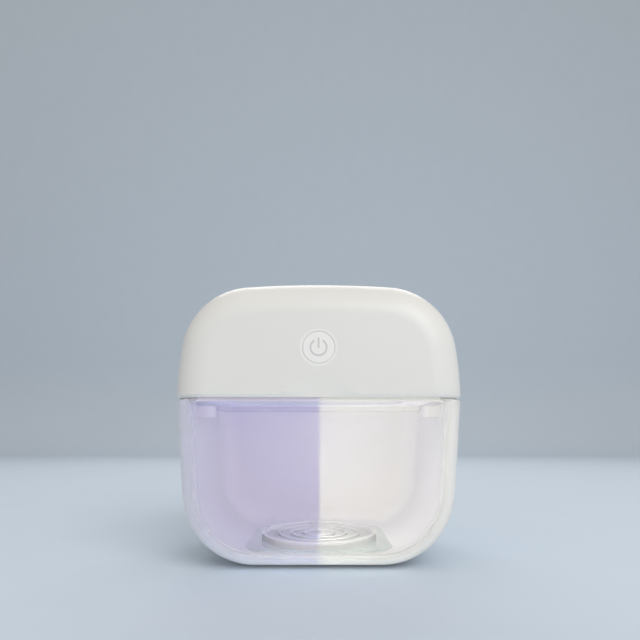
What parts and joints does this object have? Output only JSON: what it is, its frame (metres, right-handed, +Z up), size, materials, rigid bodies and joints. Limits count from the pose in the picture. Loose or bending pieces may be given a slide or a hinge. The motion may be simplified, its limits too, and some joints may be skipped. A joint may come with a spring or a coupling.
{
  "type": "pacifier sterilizer case",
  "caption": "Palm-sized rounded clamshell case with a clear base, mirror floor, round tray and a lid with lamps and a power button, for sterilizing a pacifier with ultraviolet light.",
  "frame": {"origin": "middle of the foot pad's underside, on the table", "axes": "+Z up, -Y towards the front with the button, +X to the right seen from the front"},
  "size_m": [0.084, 0.0612, 0.0832],
  "materials": {
    "clear_shell": "clear moulded",
    "white_shell": "fine satin gloss",
    "pearl_liner": "reflecting white",
    "mirror_plate": "mirror-polished aluminium",
    "clear_tray": "clear moulded",
    "grey_silicone": "matt",
    "white_silicone": "matt",
    "steel": "bright drawn",
    "magnet_nickel": "nickel-plated",
    "quartz": "polished",
    "lamp_ceramic": "ceramic package",
    "lamp_board_white": "white solder mask on metal core",
    "board_green": "green solder mask",
    "black_plastic": "moulded",
    "switch_case": "moulded",
    "led_clear": "clear epoxy",
    "cell_foil": "laminated foil",
    "foam_black": "foam",
    "plug_white": "moulded nylon",
    "lead_red": "insulated wire",
    "ring_frost": "frosted clear",
    "button_white": "satin"
  },
  "bodies": {
    "base": {"base_shell": "clear_shell", "base_liner": "pearl_liner", "base_magnets": "magnet_nickel", "floor_plate": "mirror_plate", "clear_tray": "clear_tray", "foot_pad": "grey_silicone", "hinge_pin": "steel"},
    "lid": {"lid_shell": "white_shell", "inner_cover": "pearl_liner", "light_seal": "white_silicone", "cover_screws": "steel", "lid_magnets": "magnet_nickel", "lamp_windows": "quartz", "uv_lamps": "lamp_ceramic", "lamp_board": "lamp_board_white", "board_screws": "steel", "main_board": "board_green", "board_header": "black_plastic", "tact_switch": "switch_case", "ring_leds": "led_clear", "hall_sensor": "black_plastic", "battery": "cell_foil", "battery_pad": "foam_black", "battery_plug": "plug_white", "battery_leads": "lead_red", "usb_socket": "steel", "usb_insert": "black_plastic", "light_ring": "ring_frost"},
    "button": {"button_cap": "button_white", "switch_plunger": "switch_case"}
  },
  "joints": [
    {"name": "lid_hinge", "type": "hinge", "parent": "base", "child": "lid", "pos_m": [0, 0.0296, 0.0487], "axis": [-1, 0, 0], "range_deg": [0, 105]},
    {"name": "button_press", "type": "slide", "parent": "lid", "child": "button", "axis": [0, 1, 0], "range_m": [0, 0.0005], "stiffness_N_per_m": 900, "springref_m": -0.001}
  ]
}
